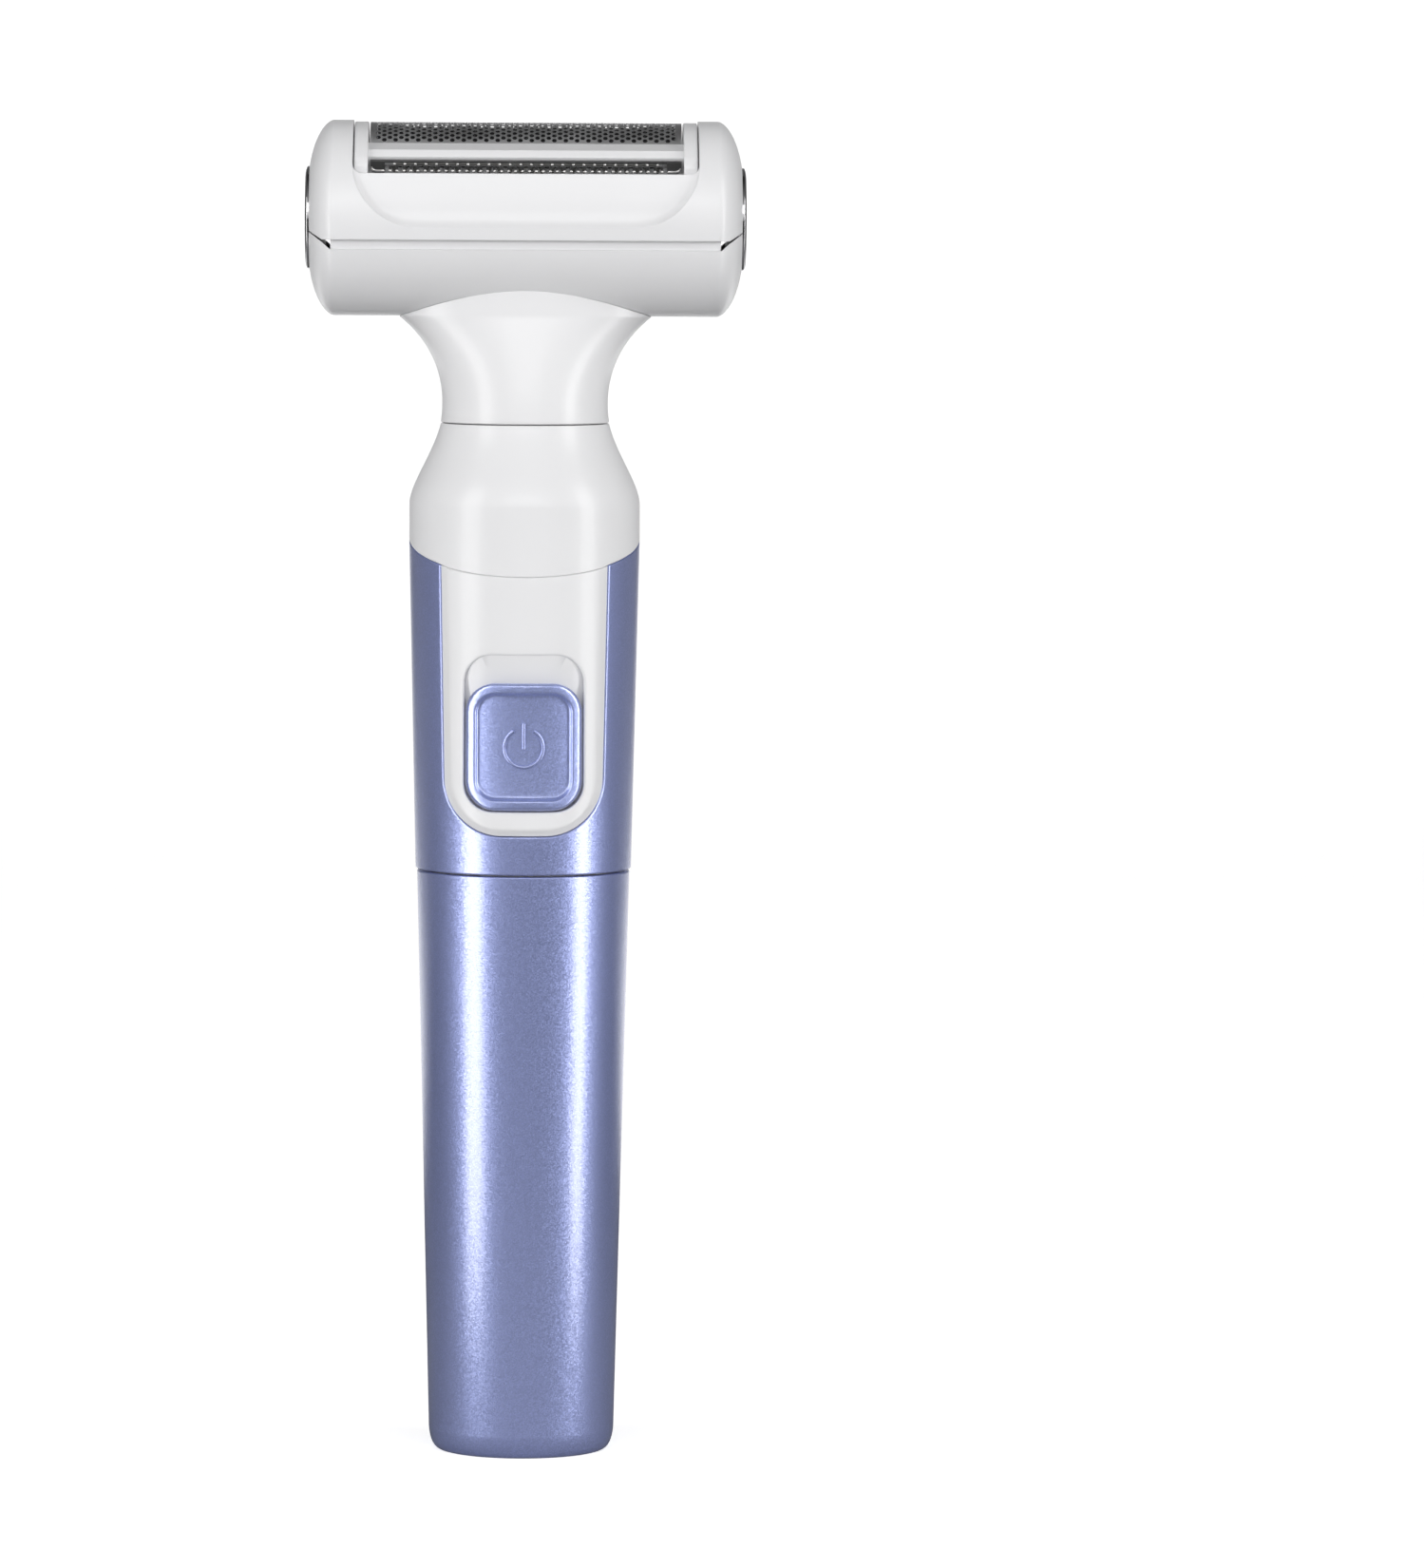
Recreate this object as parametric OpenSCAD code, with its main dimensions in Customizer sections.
// Cordless foil shaver for body hair: tapered round handle with a battery sleeve,
// slide power button, flared neck and a T-shaped cutting head with a floating foil.
// Millimetres. +Z runs up the handle, X along the head, -Y is the front, with the button.
// Origin: centre of the flat face the shaver stands on.

/* [Handle] */
// Radius of the flat standing face
base_flat_r = 10.6; // [10.2:0.1:11.2]
// Outer radius of the battery sleeve just above its bottom chamfer
sleeve_low_r = 12.12; // [12.0:0.02:12.4]
// Outer radius of the battery sleeve at its top edge
sleeve_top_r = 13.88; // [13.8:0.02:14.0]
// Outer radius of the painted body where it meets the sleeve
body_low_r = 14.08; // [14.0:0.02:14.2]
// Outer radius of the painted body under the collar
body_top_r = 15.05; // [15.0:0.02:15.3]
// Tilt of the seam between painted body and collar
seam_tilt = 16; // [12:1:18]

/* [Button] */
// Width of the power button
button_w = 15.1; // [14.6:0.1:15.2]
// Height of the power button
button_h = 16.5; // [16:0.1:16.5]
// Travel of the power button
button_travel = 3; // [2:0.5:3]

/* [Head] */
// Radius of the head barrel
barrel_r = 12.7; // [12.6:0.05:12.9]
// Height of the barrel axis
barrel_z = 161.15; // [161:0.05:161.3]
// Radius of the end buttons
disc_r = 6.75; // [6:0.05:6.8]
// Outer radius of the foil arch
foil_r = 6.2; // [6.15:0.01:6.22]
// Number of inner cutter blades
blade_count = 27; // [21:2:29]
// Number of comb teeth on each trimmer
comb_teeth = 41; // [31:2:45]
// Stroke of the cutter to each side
stroke = 0.9; // [0.6:0.1:0.9]

/* [Hidden] */

$fn = 72;

white = [0.93, 0.93, 0.94];
blue = [0.50, 0.55, 0.76];
steel = [0.62, 0.63, 0.65];
dark = [0.25, 0.25, 0.26];
ivory = [0.86, 0.86, 0.83];
brass = [0.8, 0.65, 0.3];
bronze = [0.75, 0.5, 0.25];
silver = [0.8, 0.8, 0.82];
cell_green = [0.15, 0.35, 0.25];
board_green = [0.15, 0.4, 0.2];

// Handle
sleeve_low = 3;             // top of the sleeve's bottom chamfer
sleeve_top = 76.2;          // top edge of the battery sleeve
body_bot = 76.42;           // lower edge of the painted body
body_bore_r = 12.6;
seam_z = 119.4;             // height of the tilted seam on the axis
chassis_r = 12.4;
chassis_bore_r = 10.3;
chassis_top = 109.7;
motor_plate_z = 107.7;      // underside of the plate the motor is screwed to
seal_z = 73.5;
strip_y0 = 8.2;             // return strip, front and rear faces
strip_y1 = 8.6;

// Switch
far = 20;                   // cutting solids reach this far out in Y
panel_bot = 81.5;
panel_back_r = 12.65;       // inner radius of the panel
recess_lo = 84.7;
recess_hi = 104.95;
ramp_z = 98.4;              // lower end of the thumb ramp
ramp_r = 13.75;             // radius of the ramp at its lower end
ramp_top_r = 14.9;          // and at its upper end, a little under the panel face
ramp_slope = (ramp_top_r - ramp_r) / (recess_hi - ramp_z);
button_lo = recess_lo + 0.2;
button_hi = button_lo + button_h;
stem_half = 1.8;            // half width of the button stem
stem_lo = 91.5;
stem_hi = 95;
slider_back_y = -8.95;

// Drive
motor_screw_x = 6;
shaft_r = 1;
drive_z = 110.6;            // lower end of the drive sleeve
drive_r = 2.6;
pin_r = 1;
pin_throw = 0.9;            // offset of the drive pin from the axis
bush_r = 4.2;

// Collar and neck
collar_r = body_top_r;
collar_top = 134.5;
spigot_r = 8.5;             // neck spigot inside the collar
neck_screw_x = 9.3;

// Head
barrel_half = 28.1;         // half length of the barrel
split_z = 158.4;            // lower edge of the foil frame
window_half = 22.35;        // half length of the window in the foil frame
guide_r = 0.75;
guide_y = 5.6;
guide_z = 155.6;
arm_y = 8.75;               // centre of the bridge arms that drive the trimmers
arm_half_x = 0.9;
arm_half_y = 0.45;
spring_x = 10;
peg_r = 1.2;                // pegs inside the cutter springs
foil_z = 167.4;             // axis of the foil arch
foil_half = 20.2;           // half length of the foil and combs
foil_t = 0.15;
disc_stem_r = 2.0;

// ---- functions ----------------------------------------------------------

function lerp(a, b, t) = a + (b - a) * t;
// Outer radius of the painted body at height z
function body_r(z) = lerp(body_low_r, body_top_r, (z - body_bot) / (seam_z - body_bot));
// Cubic Bezier value from four control values
function bezier(p, t) = let (u = 1 - t)
    u * u * u * p[0] + 3 * u * u * t * p[1] + 3 * u * t * t * p[2] + t * t * t * p[3];
function curve(p, n) = [for (i = [0:n]) bezier(p, i / n)];
// Closes an outline by repeating its points mirrored across X = 0
function both_sides(p) = concat(p, [for (i = [len(p) - 1:-1:0]) [-p[i][0], p[i][1]]]);

// ---- shape helpers ------------------------------------------------------

module box(x0, x1, y0, y1, z0, z1) {
    translate([x0, y0, z0]) cube([x1 - x0, y1 - y0, z1 - z0]);
}
// Box centred on the Z axis
module slab(half_x, half_y, z0, z1) { box(-half_x, half_x, -half_y, half_y, z0, z1); }
module post(r, z, h) { translate([0, 0, z]) cylinder(r = r, h = h); }
module rod_x(r, x0, x1, y = 0, z = barrel_z) {
    translate([x0, y, z]) rotate([0, 90, 0]) cylinder(r = r, h = x1 - x0);
}
// Rod along X, centred on X = 0
module bar_x(r, half, y = 0, z = barrel_z) { rod_x(r, -half, half, y, z); }
module ring(r0, r1, z0, z1) {
    translate([0, 0, z0]) difference() {
        cylinder(r = r1, h = z1 - z0);
        translate([0, 0, -1]) cylinder(r = r0, h = z1 - z0 + 2);
    }
}
module mirrored_x() { children(); mirror([1, 0, 0]) children(); }
module mirrored_y() { children(); mirror([0, 1, 0]) children(); }
// Copies at -x and +x, not mirrored
module pair_x(x) { for (side = [-1, 1]) translate([side * x, 0, 0]) children(); }
// Extrudes an XZ outline from y0 to y1
module along_y(y0, y1) {
    translate([0, y1, 0]) rotate([90, 0, 0]) linear_extrude(height = y1 - y0) children();
}
// Extrudes a YZ outline over half to each side of X = 0
module along_x(half) {
    rotate([90, 0, 90]) translate([0, 0, -half]) linear_extrude(height = 2 * half) children();
}
// Rounded rectangle in XZ, drawn through Y
module plate_xz(w, z0, z1, r, y0, y1) {
    along_y(y0, y1) union() {
        translate([-w / 2 + r, z0]) square([w - 2 * r, z1 - z0]);
        translate([-w / 2, z0 + r]) square([w, z1 - z0 - 2 * r]);
        for (x = [-w / 2 + r, w / 2 - r]) for (z = [z0 + r, z1 - r])
            translate([x, z]) circle(r = r);
    }
}
// Half space above (up) or below the tilted seam, shifted by dz
module seam_side(up, dz = 0) {
    translate([0, 0, seam_z + dz]) rotate([seam_tilt, 0, 0])
        translate([-30, -30, up ? 0 : -60]) cube([60, 60, 60]);
}
// Solid of revolution between radius inner and the body surface raised by lift
module body_layer(lift, z0, z1, inner = 0) {
    rotate_extrude() polygon([
        [inner, z0], [body_r(z0) + lift, z0], [body_r(z1) + lift, z1], [inner, z1]]);
}
// Coil spring around Z; sides is the number of segments in a turn
module coil(r, wire_r, z0, z1, turns, sides = 10) {
    n = turns * sides;
    k_n = 6; // points around the wire
    pts = [for (i = [0:n]) for (k = [0:k_n - 1])
        let (turn = i * 360 / sides, roll = k * 360 / k_n, reach = r + wire_r * cos(roll))
        [reach * cos(turn), reach * sin(turn),
            z0 + wire_r + (z1 - z0 - 2 * wire_r) * i / n + wire_r * sin(roll)]];
    walls = [for (i = [0:n - 1]) for (k = [0:k_n - 1]) let (next = (k + 1) % k_n)
        [i * k_n + next, (i + 1) * k_n + next, (i + 1) * k_n + k, i * k_n + k]];
    caps = [[for (k = [k_n - 1:-1:0]) k], [for (k = [0:k_n - 1]) n * k_n + k]];
    polyhedron(points = pts, faces = concat(walls, caps), convexity = 8);
}

// ---- handle -------------------------------------------------------------

// Pull-off lower sleeve that closes the battery bay
module battery_sleeve() {
    // radius, z: up the outside, then down the bore
    profile = [
        [0, 0], [base_flat_r, 0], [base_flat_r + 0.95, 0.8], [sleeve_low_r - 0.2, 1.9],
        [sleeve_low_r, sleeve_low], [sleeve_top_r, sleeve_top],
        [12.5, sleeve_top], [12.5, 68.3], [11.4, 67.2], [10.35, 4.5], [9.6, 2.6], [0, 2.6]];
    color(blue) difference() {
        rotate_extrude() polygon(profile);
        // two keyways for the ribs of the frame
        pair_x(12.75) slab(0.5, 1.1, 67.5, 77);
    }
}
// Rubber ring that keeps water out of the sleeve joint
module seal_ring() {
    color(dark) translate([0, 0, seal_z]) rotate_extrude()
        translate([11.74, 0]) circle(r = 0.68, $fn = 24);
}
// Inner frame: spigot for the sleeve, battery cradle, motor bay
module chassis() {
    cradle_r = 9.3;
    color(ivory) difference() {
        union() {
            ring(chassis_bore_r, chassis_r, 68.6, 84);
            ring(chassis_bore_r, chassis_r, 83.9, chassis_top);
            ring(3.1, chassis_r, motor_plate_z, chassis_top);
            ring(7.55, cradle_r, 11, 69);
            ring(2.5, cradle_r, 9.4, 11.6);
            ring(2.2, 10.4, 66.4, 70);
            // ribs for the sleeve keyways
            pair_x(12.7) slab(0.4, 0.95, 69, sleeve_top);
        }
        // groove for the seal ring
        ring(11.02, 13.5, seal_z - 0.75, seal_z + 0.75);
        // open front of the cradle
        box(-12, 12, -12, -1, 13, 65.6);
        // bay for the slide switch, open to the front
        box(-11.3, 11.3, -14, -4.5, 81, 107.5);
        // strip channel, screw holes and wire hole
        box(-3, 3, 6.9, cradle_r + 0.05, 9, 66);
        pair_x(motor_screw_x) post(1.05, 107, 4);
        translate([0, strip_y1, 66]) cylinder(r = 0.9, h = 5);
    }
}
// Single AA cell
module battery_cell() {
    profile = [ // radius, z
        [0, 14.2], [5.6, 14.2], [5.6, 14.0], [6.6, 14.0], [7.2, 14.6], [7.2, 62.6],
        [6.8, 63.1], [2.75, 63.1], [2.75, 64.5], [0, 64.5]];
    color(cell_green) rotate_extrude() polygon(profile);
}
// Coiled minus contact under the cell
module battery_spring() {
    color(steel) union() {
        post(6.4, 11.6, 0.3);
        coil(4.2, 0.3, 11.8, 14.1, 2, 14);
    }
}
// Plus contact above the cell
module top_contact() {
    half_w = 1.6;
    color(brass) union() {
        post(4, 64.55, 0.35);
        box(-half_w, half_w, -6.9, 0, 65.9, 66.3);
        box(-half_w, half_w, -4, -3.6, 64.7, 66.2);
        box(-half_w, half_w, -6.9, -6.5, 65.9, 66.35);
    }
}
// Metal strip that takes the minus side up to the motor bay
module return_strip() {
    color(brass) union() {
        box(-2, 2, strip_y0, strip_y1, 11.95, 65.8);
        box(-2, 2, 5.6, strip_y1, 11.95, 12.3);
        box(-0.5, 0.5, strip_y0, strip_y1, 65.7, 80);
    }
}
// Painted upper housing with the window for the panel
module body_shell() {
    top = 126;
    color(blue) difference() {
        rotate_extrude() polygon([
            [body_bore_r, body_bot], [body_low_r - 0.15, body_bot],
            [body_low_r, body_bot + 0.2], [body_top_r, seam_z],
            [body_top_r + 0.03, top], [body_bore_r, top]]);
        seam_side(true);
        panel_prism(0.08, 0);
    }
}

// ---- switch -------------------------------------------------------------

// Tapered outline of the inlay panel, grown by g
module panel_outline(g) {
    r = 7.4 + g;
    low_half = 10.3 + g;
    top_half = 10.9 + g;
    bot = panel_bot - g;
    union() {
        translate([0, bot]) {
            pair_x(low_half - r) translate([0, r]) circle(r = r);
            translate([-(low_half - r), 0]) square([2 * (low_half - r), r]);
        }
        polygon([[-low_half, bot + r], [low_half, bot + r], [top_half, 122], [-top_half, 122]]);
    }
}
module panel_prism(g, rear_y) { along_y(-far, rear_y) panel_outline(g); }

// Glossy inlay panel with the switch well
module switch_panel() {
    lo = 78;
    hi = 119;
    color(white) difference() {
        union() {
            // raised face
            intersection() {
                panel_prism(-0.75, -2);
                rotate_extrude() polygon([
                    [panel_back_r, lo], [body_r(lo) + 0.5, lo], [body_r(106) + 0.35, 106],
                    [body_r(hi) + 0.08, hi], [panel_back_r, hi]]);
            }
            // rim just under the body surface
            intersection() {
                panel_prism(0, -2);
                body_layer(-0.1, lo, hi, panel_back_r);
            }
            // thick floor behind the well
            intersection() {
                panel_prism(0, -2);
                plate_xz(17.9, 83.4, 106.2, 4.7, -12.9, -9.8);
            }
        }
        seam_side(true, -0.06);
        // switch well
        intersection() {
            plate_xz(15.4, recess_lo, recess_hi, 3.6, -far, -11.2);
            union() {
                box(-10, 10, -far, -10, 80, ramp_z);
                // sloping thumb ramp above the well
                rotate_extrude() polygon([
                    [ramp_r, ramp_z - 0.1], [ramp_r, ramp_z], [ramp_top_r, recess_hi],
                    [far, recess_hi + 1], [far, ramp_z - 0.1]]);
            }
        }
        // slot for the button stem
        box(-2.1, 2.1, -12, -9, 88.9, 98.1);
    }
}
// Ring with a gap at the top and a bar through it
module on_off_mark() {
    union() {
        difference() {
            circle(r = 2.75);
            circle(r = 2.3);
            polygon([[0, 0], [-2, 4], [2, 4]]);
        }
        translate([-0.22, -0.2]) square([0.44, 3.4]);
    }
}
// Dished power button with a raised on-off mark
module power_button() {
    lo = 80; // height range of the turned solids that shape the faces
    hi = 110;
    dish = 0.7;
    rear_y = -11.3;
    relief_z = ramp_z - button_travel - 0.15;
    relief_top = button_hi + 0.1;
    color(blue) difference() {
        union() {
            difference() {
                intersection() {
                    plate_xz(button_w, button_lo, button_hi, 3.3, -far, rear_y);
                    body_layer(1.15, lo, hi);
                }
                intersection() {
                    plate_xz(button_w - 2.4, button_lo + 1.3, button_hi - 1.3, 2.3, -far, rear_y);
                    rotate_extrude() polygon([
                        [body_r(lo) + dish, lo], [30, lo], [30, hi], [body_r(hi) + dish, hi]]);
                }
            }
            intersection() {
                body_layer(0.85, lo, hi);
                translate([0, 0, (button_lo + button_hi) / 2 - 0.1])
                    along_y(-18, -12) on_off_mark();
            }
            box(-stem_half, stem_half, -11.4, slider_back_y - 0.02, stem_lo, stem_hi);
        }
        // relief that rides over the thumb ramp
        rotate_extrude() polygon([
            [0, relief_z], [ramp_r + 0.06, relief_z],
            [ramp_r + 0.07 + (relief_top + button_travel - ramp_z) * ramp_slope, relief_top],
            [0, relief_top]]);
    }
}
// Inner slider that carries the wiper
module switch_slider() {
    hole_half = stem_half + 0.05;
    color(dark) difference() {
        box(-4, 4, -9.7, slider_back_y, 90, 97);
        box(-hole_half, hole_half, -9.75, -8.9, stem_lo - 0.05, stem_hi + 0.05);
    }
}
// U-shaped contact: two legs and a cross strip
module switch_wiper() {
    rear_y = slider_back_y + 0.2;
    color(brass) union() {
        pair_x(2.7) box(-0.5, 0.5, slider_back_y, rear_y, 90.5, 96.5);
        box(-3.2, 3.2, slider_back_y, rear_y, 90.5, 91.3);
    }
}
module switch_board() {
    color(board_green) difference() {
        box(-6.8, 6.8, -8.6, -7.7, 83, 106.4);
        for (z = [84.5, 105])
            translate([5.4, -7, z]) rotate([90, 0, 0]) cylinder(r = 0.6, h = 3, $fn = 24);
    }
}

// ---- motor --------------------------------------------------------------

// Round can with flattened front and rear
module motor_can() {
    color(steel) difference() {
        union() {
            intersection() {
                post(10.1, 84.6, 23.05);
                slab(11, 7.55, 84, 108);
            }
            post(3, 107.6, 1.6);
        }
        post(shaft_r + 0.1, 84, 30);
        post(7, 84, 21);
        pair_x(motor_screw_x) post(0.8, 105, 4);
    }
}
// Lower end cap with two terminals
module motor_endcap() {
    color(dark) difference() {
        union() {
            intersection() {
                post(9.6, 82.4, 2.2);
                slab(11, 7.2, 82, 85);
            }
            post(2.4, 81.2, 1.3);
            pair_x(7) slab(0.9, 0.2, 79.4, 82.5);
        }
        post(shaft_r + 0.1, 82, 10);
    }
}
// Cross-slotted screws through the motor plate
module motor_screws() {
    head_z = chassis_top + 0.02;
    color(steel) pair_x(motor_screw_x) union() {
        post(0.78, 106, 3.8);
        difference() {
            post(1.9, head_z, 1.1);
            slab(1.5, 0.25, head_z + 0.6, head_z + 1.6);
            slab(0.25, 1.5, head_z + 0.6, head_z + 1.6);
        }
    }
}
// Shaft with the rotor
module motor_shaft() {
    color(steel) union() {
        post(shaft_r, 82.1, 34);
        post(6.2, 86.5, 16);
        post(3, 85, 1.5);
    }
}
// Moulded drive sleeve with the off-centre pin
module drive_sleeve() {
    color(ivory) difference() {
        union() {
            post(3.4, drive_z, 4);
            post(drive_r, drive_z, 18);
            post(3, 128.4, 1.8);
            translate([0, pin_throw, 130]) cylinder(r = pin_r, h = 9.5, $fn = 48);
        }
        post(shaft_r, 110, 6.1);
    }
}
module shaft_bush() { color(bronze) ring(drive_r + 0.06, bush_r, 124.6, 128.0); }

// ---- collar and neck ----------------------------------------------------

// White collar between painted body and neck
module collar() {
    n = 12;
    radii = curve([collar_r, collar_r, 12.0, 11.0], n);
    heights = curve([123.9, 126.6, 130.4, collar_top], n);
    color(white) union() {
        difference() {
            rotate_extrude() polygon(concat(
                [[13.0, 110], [collar_r, 110]],
                [for (i = [0:n]) [radii[i], heights[i]]],
                [[8.6, collar_top], [8.6, 128.9], [13.0, 124.2]]));
            seam_side(false, 0.06);
        }
        // tongue inside the painted body
        ring(10.9, 12.5, 109.8, 124.6);
        // web around the bush
        ring(bush_r + 0.05, 12.9, 124.4, 126.4);
        ring(8.62, 10.0, 124.4, 129.5);
    }
}
// Flared neck: round at the seam, wide and shallow under the barrel
module neck_skin() {
    n = 10;
    sides = 40;
    half_x = concat(curve([11.02, 10.35, 11.0, 16.6], n), [16.6]);
    half_y = concat(curve([11.02, 10.95, 9.6, 8.75], n), [8.7]);
    heights = concat(curve([collar_top + 0.12, 138.5, 144.2, 148.5], n), [154.6]);
    last = n + 1;
    pts = [for (i = [0:last]) for (j = [0:sides - 1])
        [half_x[i] * cos(360 * j / sides), half_y[i] * sin(360 * j / sides), heights[i]]];
    walls = [for (i = [0:last - 1]) for (j = [0:sides - 1])
        let (a = i * sides + j, b = i * sides + (j + 1) % sides)
        each [[a, a + sides, b + sides], [a, b + sides, b]]];
    caps = [[for (j = [0:sides - 1]) j], [for (j = [sides - 1:-1:0]) last * sides + j]];
    polyhedron(points = pts, faces = concat(walls, caps), convexity = 4);
}
module neck() {
    color(white) difference() {
        union() {
            neck_skin();
            post(spigot_r, 129.2, 5.6);
        }
        bar_x(barrel_r + 0.02, 30);
        post(6.4, 129, 26);
        // groove for the neck seal
        ring(7.45, 9, 131.2, 132.6);
        pair_x(neck_screw_x) post(0.85, 140, 14);
    }
}
module neck_seal() {
    color(dark) translate([0, 0, 131.9]) rotate_extrude()
        translate([8.0, 0]) circle(r = 0.52, $fn = 20);
}
module neck_screws() {
    color(steel) pair_x(neck_screw_x) union() {
        post(0.8, 141, 9.2);
        post(1.7, 150.12, 1.1);
    }
}

// ---- head ---------------------------------------------------------------

// Solid barrel with rounded ends
module barrel() {
    n = 10;
    radii = curve([barrel_r, barrel_r - 0.2, 10.2, 6.9], n);
    xs = curve([25.0, 26.2, 27.6, barrel_half], n);
    translate([0, 0, barrel_z]) rotate([0, 90, 0]) rotate_extrude() polygon(concat(
        [[0, barrel_half]], [for (i = [n:-1:0]) [radii[i], xs[i]]],
        [for (i = [0:n]) [radii[i], -xs[i]]], [[0, -barrel_half]]));
}
// Lower half of the barrel
module head_base() {
    // x, z of the right half; the parting line rises towards the ends
    edge = [[30, 140], [30, 160.5], [28.3, 159.5], [26.3, 158.1], [25.3, 157.2]];
    color(white) difference() {
        union() {
            intersection() {
                barrel();
                along_y(-far, far) polygon(both_sides(edge));
            }
            // upstanding lip inside the foil frame
            intersection() {
                difference() {
                    bar_x(12.15, 25.2);
                    bar_x(11.3, 25.3);
                }
                slab(26, 13, 156, 159.7);
            }
        }
        bar_x(11.2, 26.2);
        mirrored_x() rod_x(disc_r + 0.15, 26.9, 29);
        // opening for the drive bridge
        slab(7, 3.6, 146, 156);
        pair_x(neck_screw_x) post(0.9, 140, 14);
    }
    // catches for the latches and seats for the guide rods
    color(white) union() {
        mirrored_x() box(25.97, 26.5, -3.2, 3.2, 154.0, 154.8);
        mirrored_x() mirrored_y() difference() {
            box(17, 19, 4.4, 6.8, 150.8, 157.0);
            rod_x(guide_r + 0.03, 16, 20, guide_y, guide_z);
        }
    }
}
module guide_rods() { color(steel) mirrored_y() bar_x(guide_r, 19, guide_y, guide_z); }
// Sliding bridge that turns the pin's circle into a side to side stroke
module drive_bridge() {
    color(ivory) difference() {
        union() {
            slab(4.4, 2.6, 135.6, 154.2);
            slab(14, 7.2, 154.0, 157.2);
            slab(1.1, 9.2, 157.0, 158.4);
            mirrored_y() translate([0, arm_y, 0]) slab(arm_half_x, arm_half_y, 157.0, 165.9);
            pair_x(spring_x) post(peg_r, 157, 5);
        }
        mirrored_y() bar_x(guide_r + 0.05, 20, guide_y, guide_z);
        // fork for the pin
        slab(pin_r + stroke + 0.06, 4, 135, 141.5);
    }
}
module cutter_springs() { color(steel) pair_x(spring_x) coil(1.75, 0.22, 157.25, 162.3, 5); }
module cutter_carrier() {
    color(dark) difference() {
        union() {
            slab(18, 3.6, 162.4, 165.2);
            mirrored_x() box(16.9, 18, -3.6, 3.6, 165, 168.5);
        }
        pair_x(spring_x) post(peg_r + 0.08, 160, 4.2);
    }
}
// Row of arched blades under the foil
module cutter_blades() {
    span = 32.4;
    half_t = 0.12;
    color(steel) for (i = [0:blade_count - 1])
        let (x = -span / 2 + span * i / (blade_count - 1)) difference() {
            rod_x(foil_r - 0.23, x - half_t, x + half_t, 0, foil_z);
            box(x - 1, x + 1, -7, 7, 160, 165.25);
            rod_x(3.2, x - 1, x + 1, 0, foil_z + 0.5);
        }
}
// Upper half of the barrel: carries the cassette and the latches
module foil_frame() {
    bore_r = 10.9;
    // x, z of the right half
    edge = [[30, 180], [30, 160.65], [28.3, 159.65], [26.3, split_z]];
    // y, z of the front scoop
    scoop = [[-20, 160], [-12.69, 160.4], [-11.8, 163.6], [-10.85, 167.2], [-20, 168]];
    color(white) difference() {
        intersection() {
            barrel();
            along_y(-far, far) polygon(both_sides(edge));
        }
        bar_x(bore_r, window_half);
        mirrored_x() rod_x(bore_r, 23.4, 26.2);
        // room for the lip of the base
        intersection() {
            bar_x(12.25, 25.6);
            slab(26, 13, 150, 160.0);
        }
        // window
        slab(window_half, 13, 167, 180);
        slab(window_half, 10.3, 160.2, 168);
        // round-cornered scoops at front and rear, outside the trimmers
        mirrored_y() intersection() {
            plate_xz(44.9, 160.45, 190, 8.5, -far, -5);
            along_x(23) polygon(scoop);
        }
        // bores of the end buttons
        mirrored_x() {
            rod_x(disc_r + 0.07, 27.0, 30);
            rod_x(disc_stem_r + 0.06, 26, 30);
        }
    }
}
// End button with its stem, on the right
module end_disc() {
    color(silver) union() {
        rod_x(disc_r, 27.95, 28.45);
        rod_x(disc_r - 0.25, 28.4, 28.65);
        rod_x(disc_r, 27.75, 28.0);
        rod_x(disc_stem_r, 25.3, 27.8);
    }
}
module disc_left() { mirror([1, 0, 0]) end_disc(); }
module disc_right() { end_disc(); }
// Upright strip with a hook at its foot, on the right
module latch() {
    color(ivory) union() {
        box(24.4, 25.3, -3, 3, 152.8, 163.4);
        box(25.2, 25.9, -2.6, 2.6, 152.8, 153.6);
    }
}
module latch_left() { mirror([1, 0, 0]) latch(); }
module latch_right() { latch(); }

// Floating cassette: end posts, bars and foil rails
module cassette() {
    // y, z section of the front rail
    rail = [[-6.3, 162], [-7.6, 162], [-7.6, 167.6], [-8.75, 169.15], [-8.0, 170.05],
        [-5.1, 170.95], [-4.2, 170.2]];
    foil_room = foil_r + 0.02;
    room_half = foil_half + 0.1;
    color(white) difference() {
        union() {
            mirrored_x() intersection() {
                rod_x(barrel_r - 0.2, 20.4, 22.2);
                union() {
                    box(20, 23, -13, 13, 168.0, 180);
                    box(20, 23, -10.2, 10.2, 161.3, 168.2);
                }
            }
            mirrored_y() along_x(20.5) polygon(rail);
        }
        bar_x(foil_room, room_half, 0, foil_z);
        slab(room_half, foil_room, 160, foil_z);
    }
}
// Thin arch with straight sides, open below
module foil() {
    color(steel) difference() {
        union() {
            bar_x(foil_r, foil_half, 0, foil_z);
            slab(foil_half, foil_r, 163, foil_z);
        }
        slab(21, foil_r + 1, 160, 163);
        bar_x(foil_r - foil_t, 21, 0, foil_z);
        slab(21, foil_r - foil_t, 160, foil_z);
    }
}

// ---- trimmers, side -1 at the front and 1 at the rear -------------------

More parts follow.
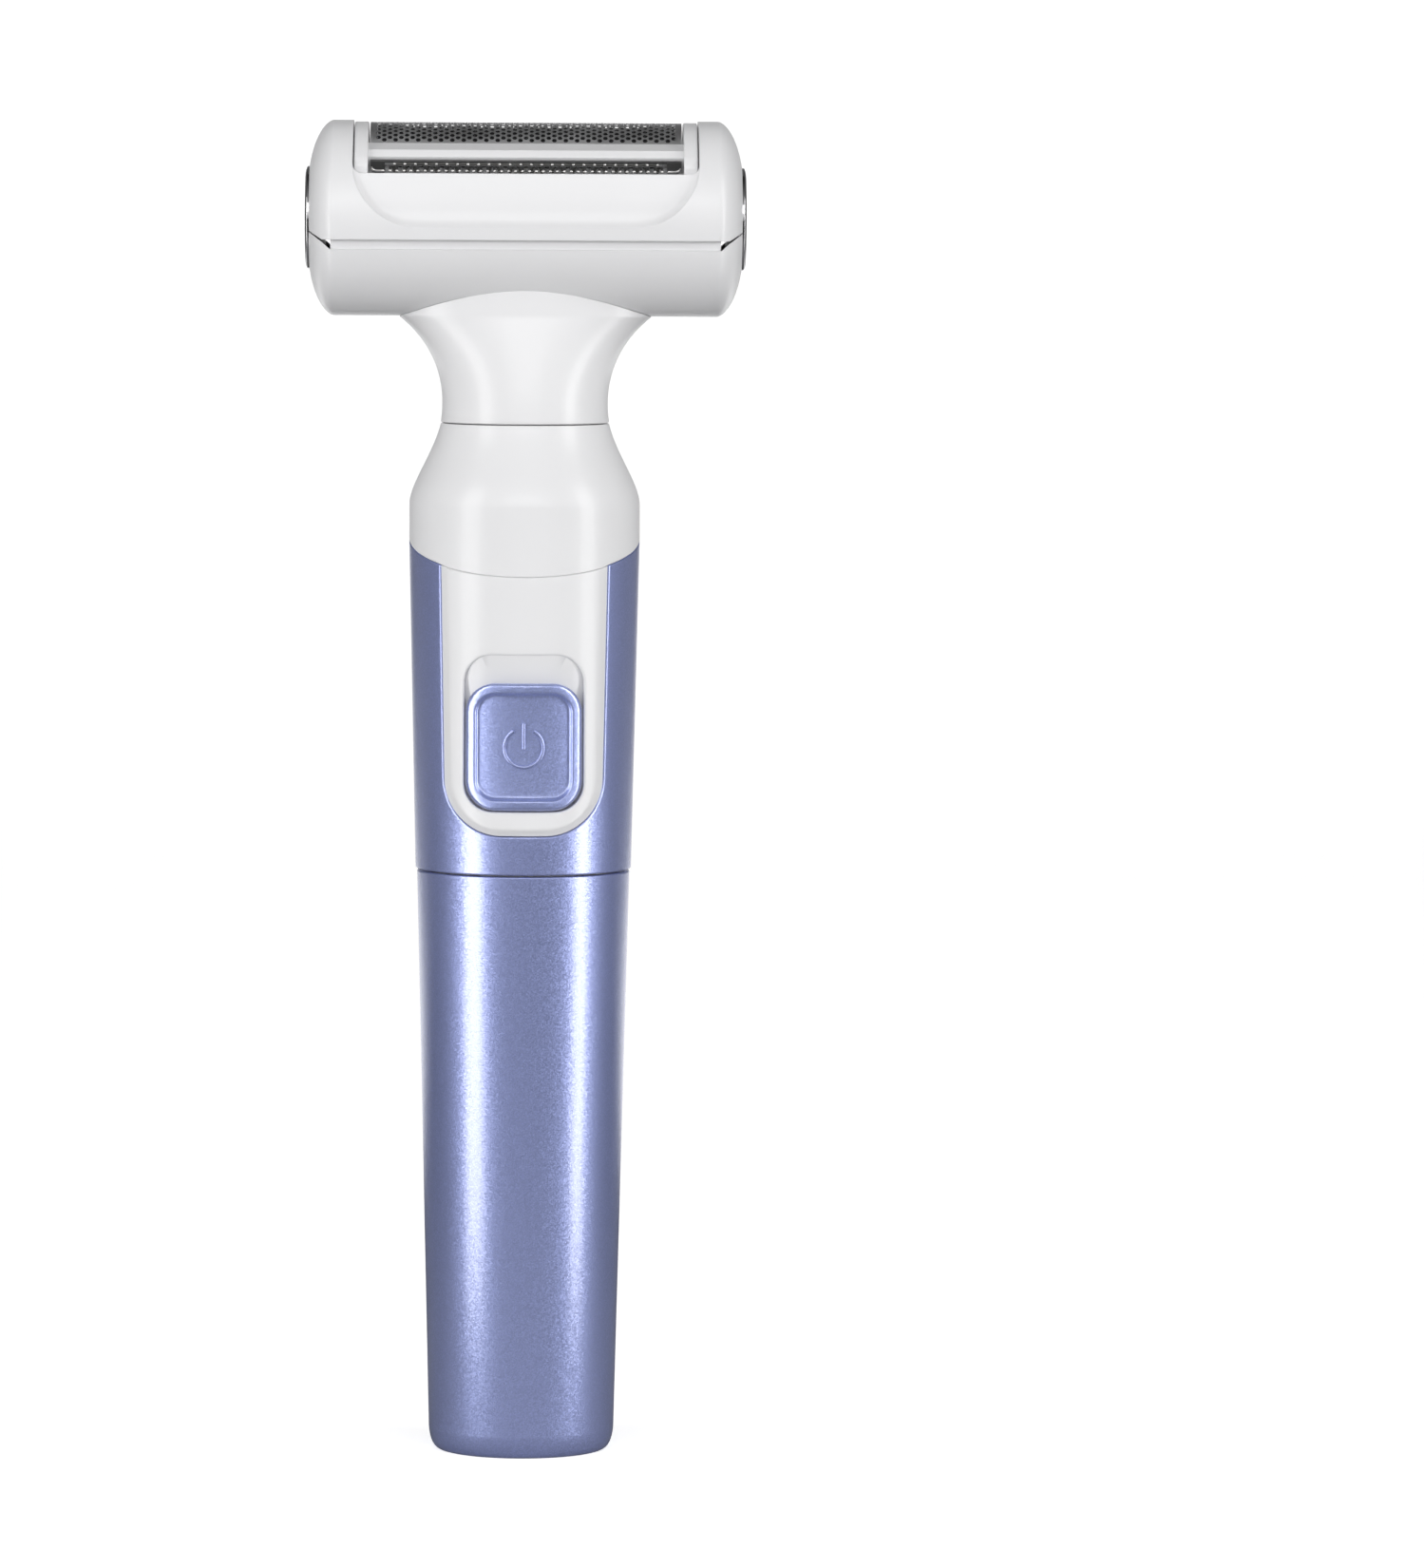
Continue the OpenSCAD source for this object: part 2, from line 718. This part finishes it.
// Places a part on the slope outside the cassette rail, in the comb's own axes:
// Y runs down the slope, Z is the height above the comb's outer face
module on_slope(side) {
    run = 0.66; // direction of the slope
    drop = 0.7513;
    multmatrix([
        [-side, 0, 0, 0],
        [0, side * run, side * drop, side * 8.62],
        [0, -drop, run, 168.95],
        [0, 0, 0, 1]]) children();
}
// Row of cuts over span, from y0 through the lower edge
module tooth_gaps(count, span, half_gap, y0) {
    for (i = [0:count - 1]) let (x = (i - (count - 1) / 2) * span / (count - 1))
        box(x - half_gap, x + half_gap, y0, 3, -1, 1);
}
module comb(side) {
    color(dark) on_slope(side) difference() {
        box(-foil_half, foil_half, 0.25, 2.35, -0.35, 0);
        tooth_gaps(comb_teeth, 36, 0.2, 1.1);
    }
}
module front_comb() { comb(-1); }
module rear_comb() { comb(1); }
// Toothed blade under the comb
module trimmer(side) {
    tab_y = side * arm_y;
    slot_half = arm_half_x + 0.07;
    color(steel) union() {
        on_slope(side) difference() {
            box(-17.9, 17.9, 0.45, 1.95, -0.68, -0.38);
            tooth_gaps(26, 34, 0.3, 1.0);
        }
        // tab with the slot for the bridge arm
        difference() {
            box(-2.2, 2.2, tab_y - arm_half_y, tab_y + arm_half_y, 162.8, 167.6);
            box(-slot_half, slot_half, tab_y - 1, tab_y + 1, 162, 166.9);
            on_slope(side) box(-5, 5, -3, 6, -0.4, 4);
        }
    }
}
module front_trimmer() { trimmer(-1); }
module rear_trimmer() { trimmer(1); }

battery_sleeve();
seal_ring();
chassis();
battery_cell();
battery_spring();
top_contact();
return_strip();
body_shell();
switch_panel();
power_button();
switch_slider();
switch_wiper();
switch_board();
motor_can();
motor_endcap();
motor_screws();
motor_shaft();
drive_sleeve();
shaft_bush();
collar();
neck();
neck_seal();
neck_screws();
head_base();
guide_rods();
drive_bridge();
cutter_carrier();
cutter_blades();
cutter_springs();
foil_frame();
cassette();
foil();
front_comb();
rear_comb();
front_trimmer();
rear_trimmer();
disc_left();
disc_right();
latch_left();
latch_right();
